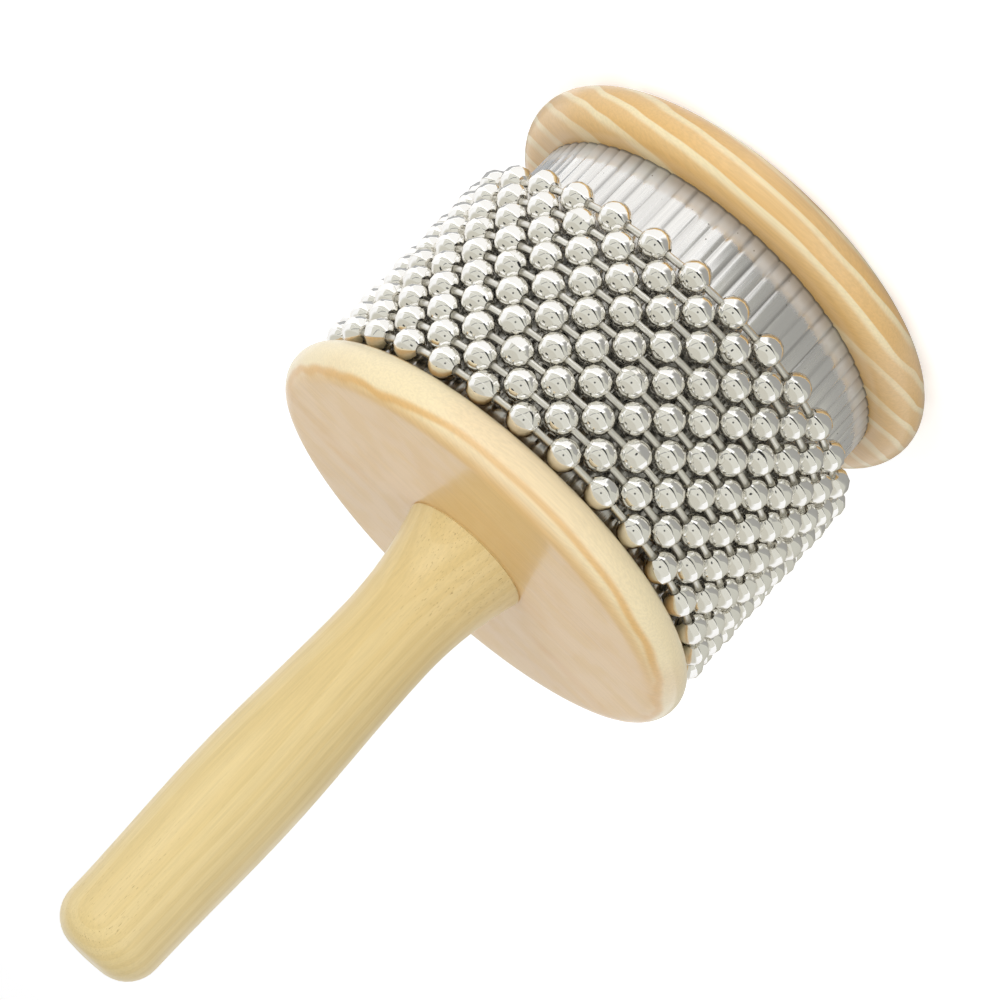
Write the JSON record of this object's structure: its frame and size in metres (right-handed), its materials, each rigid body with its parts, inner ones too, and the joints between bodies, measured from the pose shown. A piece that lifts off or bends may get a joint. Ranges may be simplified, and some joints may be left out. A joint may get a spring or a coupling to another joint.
{
  "type": "cabasa",
  "caption": "Hand percussion instrument: loops of steel ball chain lie loose round a fluted metal drum between two wooden discs, on a turned wooden handle.",
  "frame": {"origin": "centre of the end disc's outer face, on which the instrument stands with its handle up", "axes": "+Z along the axis towards the end of the handle; -Y is the side that faces the camera"},
  "size_m": [0.1, 0.1, 0.1883],
  "materials": {
    "disc_wood": "clear satin lacquer on pine",
    "handle_wood": "clear satin lacquer on pale hardwood",
    "core_wood": "bare softwood",
    "sleeve_steel": "rolled and fluted sheet",
    "bead_nickel": "polished nickel plate",
    "link_nickel": "nickel plate, drawn wire"
  },
  "bodies": {
    "head": {"end_disc": "disc_wood", "handle_disc": "disc_wood", "drum_core": "core_wood", "corrugated_sleeve": "sleeve_steel", "handle": "handle_wood"},
    "loop_01": {"bead_loop_01": "bead_nickel", "link_loop_01": "link_nickel"},
    "loop_02": {"bead_loop_02": "bead_nickel", "link_loop_02": "link_nickel"},
    "loop_03": {"bead_loop_03": "bead_nickel", "link_loop_03": "link_nickel"},
    "loop_04": {"bead_loop_04": "bead_nickel", "link_loop_04": "link_nickel"},
    "loop_05": {"bead_loop_05": "bead_nickel", "link_loop_05": "link_nickel"},
    "loop_06": {"bead_loop_06": "bead_nickel", "link_loop_06": "link_nickel"},
    "loop_07": {"bead_loop_07": "bead_nickel", "link_loop_07": "link_nickel"},
    "loop_08": {"bead_loop_08": "bead_nickel", "link_loop_08": "link_nickel"},
    "loop_09": {"bead_loop_09": "bead_nickel", "link_loop_09": "link_nickel"},
    "loop_10": {"bead_loop_10": "bead_nickel", "link_loop_10": "link_nickel"}
  },
  "joints": [
    {"name": "chain_spin", "type": "hinge", "parent": "head", "child": "loop_01", "pos_m": [0, 0, 0.0699], "axis": [0, 0, 1], "continuous": true},
    {"name": "loop_02_slide", "type": "slide", "parent": "loop_01", "child": "loop_02", "axis": [0, 0, -1], "range_m": [0, 0.00141]},
    {"name": "loop_03_slide", "type": "slide", "parent": "loop_02", "child": "loop_03", "axis": [0, 0, -1], "range_m": [0, 0.00141]},
    {"name": "loop_04_slide", "type": "slide", "parent": "loop_03", "child": "loop_04", "axis": [0, 0, -1], "range_m": [0, 0.00141]},
    {"name": "loop_05_slide", "type": "slide", "parent": "loop_04", "child": "loop_05", "axis": [0, 0, -1], "range_m": [0, 0.00141]},
    {"name": "loop_06_slide", "type": "slide", "parent": "loop_05", "child": "loop_06", "axis": [0, 0, -1], "range_m": [0, 0.00141]},
    {"name": "loop_07_slide", "type": "slide", "parent": "loop_06", "child": "loop_07", "axis": [0, 0, -1], "range_m": [0, 0.00141]},
    {"name": "loop_08_slide", "type": "slide", "parent": "loop_07", "child": "loop_08", "axis": [0, 0, -1], "range_m": [0, 0.00141]},
    {"name": "loop_09_slide", "type": "slide", "parent": "loop_08", "child": "loop_09", "axis": [0, 0, -1], "range_m": [0, 0.00141]},
    {"name": "loop_10_slide", "type": "slide", "parent": "loop_09", "child": "loop_10", "axis": [0, 0, -1], "range_m": [0, 0.00141]}
  ]
}
